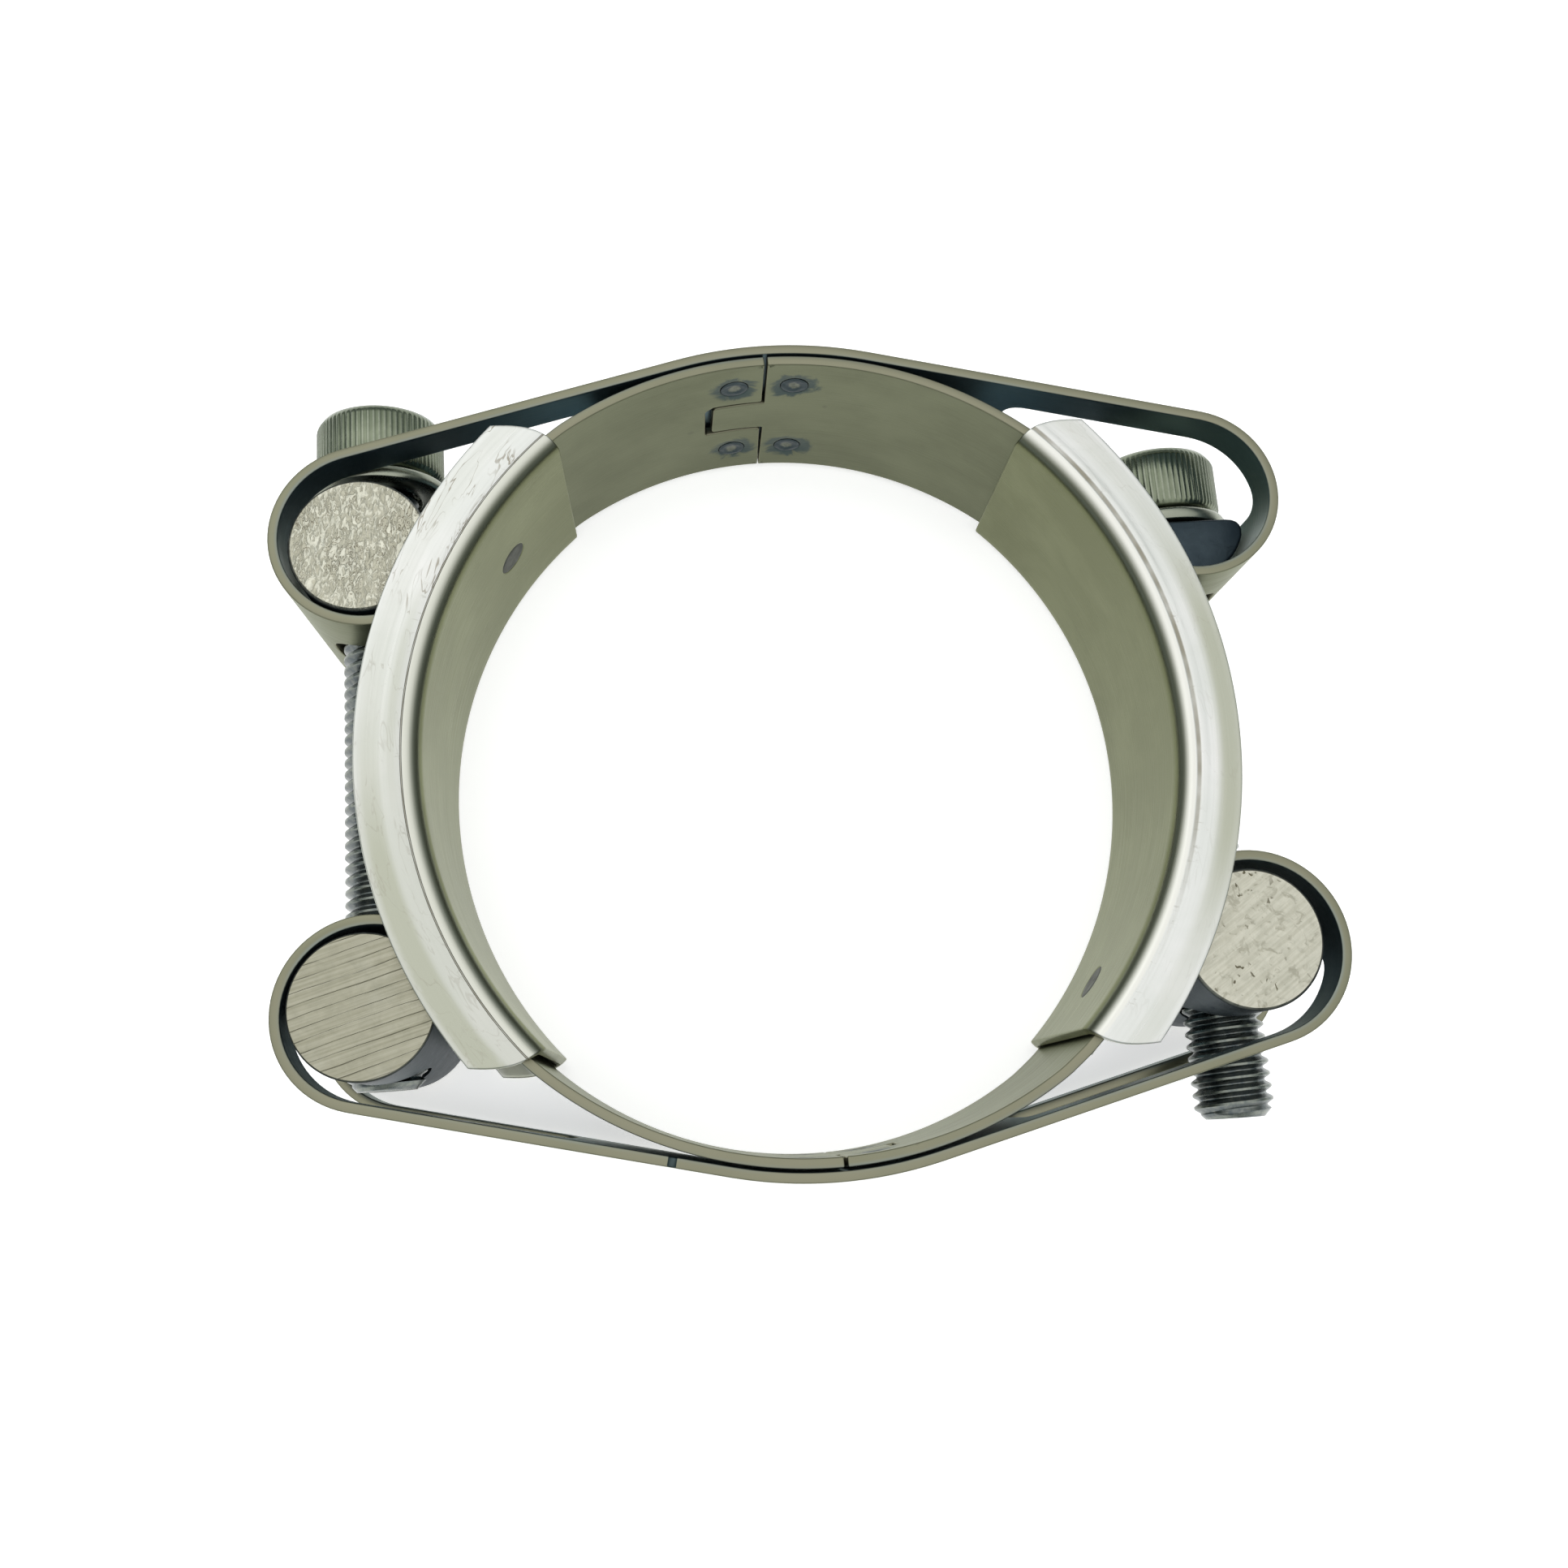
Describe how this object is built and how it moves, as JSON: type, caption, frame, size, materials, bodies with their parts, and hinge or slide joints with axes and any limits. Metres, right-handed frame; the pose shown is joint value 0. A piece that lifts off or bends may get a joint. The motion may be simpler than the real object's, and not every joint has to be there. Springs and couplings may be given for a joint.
{
  "type": "pipe repair clamp",
  "caption": "Two-part stainless band clamp for a pipe: folded straps drawn together by long socket screws through bars in the strap eyes, with channel bridges over the gaps.",
  "frame": {"origin": "on the pipe axis, at the face the clamp rests on when it lies flat", "axes": "+Z along the pipe axis, +X along the long side across both screws, +Y from the tapped bars towards the screw heads"},
  "size_m": [0.1076, 0.0856, 0.0264],
  "materials": {
    "strap_steel": "rolled stainless strip, dull grey with a faint olive cast, bright along its sheared edges",
    "bridge_steel": "rolled stainless channel, bright satin flanges with fine scratches and a dull web",
    "bar_steel": "round bar with matt sawn end faces",
    "screw_steel": "plated steel screw, knurled head, darker glossy thread",
    "washer_steel": "plain flat washer",
    "weld_metal": "spot weld with a dark heat tint round it",
    "rivet_steel": "flush set rivet, dull dark grey"
  },
  "bodies": {
    "upper_half": {"upper_strap": "strap_steel", "left_bridge": "bridge_steel", "left_bridge_rivet": "rivet_steel", "upper_spot_weld_1": "weld_metal", "upper_spot_weld_2": "weld_metal", "upper_spot_weld_3": "weld_metal", "upper_spot_weld_4": "weld_metal"},
    "upper_left_bar": {"upper_left_trunnion": "bar_steel"},
    "left_screw": {"left_bolt": "screw_steel"},
    "left_washer_ring": {"left_washer": "washer_steel"},
    "lower_left_bar": {"lower_left_trunnion": "bar_steel"},
    "lower_half": {"lower_strap": "strap_steel", "right_bridge": "bridge_steel", "right_bridge_rivet": "rivet_steel", "lower_spot_weld_1": "weld_metal", "lower_spot_weld_2": "weld_metal", "lower_spot_weld_3": "weld_metal", "lower_spot_weld_4": "weld_metal"},
    "lower_right_bar": {"lower_right_trunnion": "bar_steel"},
    "right_seat": {"upper_right_seat": "bar_steel"},
    "right_screw": {"right_bolt": "screw_steel", "right_washer": "washer_steel"}
  },
  "joints": [
    {"name": "upper_left_swivel", "type": "hinge", "parent": "upper_half", "child": "upper_left_bar", "pos_m": [-0.0448, 0.01935, 0.0132], "axis": [0, 0, 1], "range_deg": [-0.3, 0.3]},
    {"name": "left_screw_turn", "type": "hinge", "parent": "upper_left_bar", "child": "left_screw", "pos_m": [-0.0448, 0.01935, 0.0132], "axis": [-0.0689, 0.9976, 0], "range_deg": [-45, 2600]},
    {"name": "left_washer_slide", "type": "slide", "parent": "left_screw", "child": "left_washer_ring", "axis": [0.0689, -0.9976, 0], "range_m": [0, 0.0022]},
    {"name": "opening_slide", "type": "slide", "parent": "upper_left_bar", "child": "lower_left_bar", "axis": [0.0689, -0.9976, 0], "range_m": [-0.0001, 0.009]},
    {"name": "lower_left_swivel", "type": "hinge", "parent": "lower_left_bar", "child": "lower_half", "pos_m": [-0.04162, -0.02668, 0.0132], "axis": [0, 0, 1], "range_deg": [-0.31, 0.31]},
    {"name": "lower_right_swivel", "type": "hinge", "parent": "lower_half", "child": "lower_right_bar", "pos_m": [0.04415, -0.0197, 0.0132], "axis": [0, 0, 1], "range_deg": [-0.31, 0.31]},
    {"name": "right_seat_swivel", "type": "hinge", "parent": "upper_half", "child": "right_seat", "pos_m": [0.04097, 0.02633, 0.0132], "axis": [0, 0, 1], "range_deg": [-0.31, 0.31]},
    {"name": "right_screw_turn", "type": "hinge", "parent": "right_seat", "child": "right_screw", "pos_m": [0.04097, 0.02633, 0.0132], "axis": [-0.0689, 0.9976, 0], "range_deg": [-45, 2600]}
  ],
  "couplings": [
    {"joint": "left_screw_turn", "follows": "opening_slide", "rad_per_m": 5026.5},
    {"joint": "right_screw_turn", "follows": "opening_slide", "rad_per_m": 5026.5},
    {"joint": "lower_left_swivel", "follows": "upper_left_swivel", "ratio": -1},
    {"joint": "lower_right_swivel", "follows": "upper_left_swivel", "ratio": 1},
    {"joint": "right_seat_swivel", "follows": "upper_left_swivel", "ratio": 1}
  ]
}
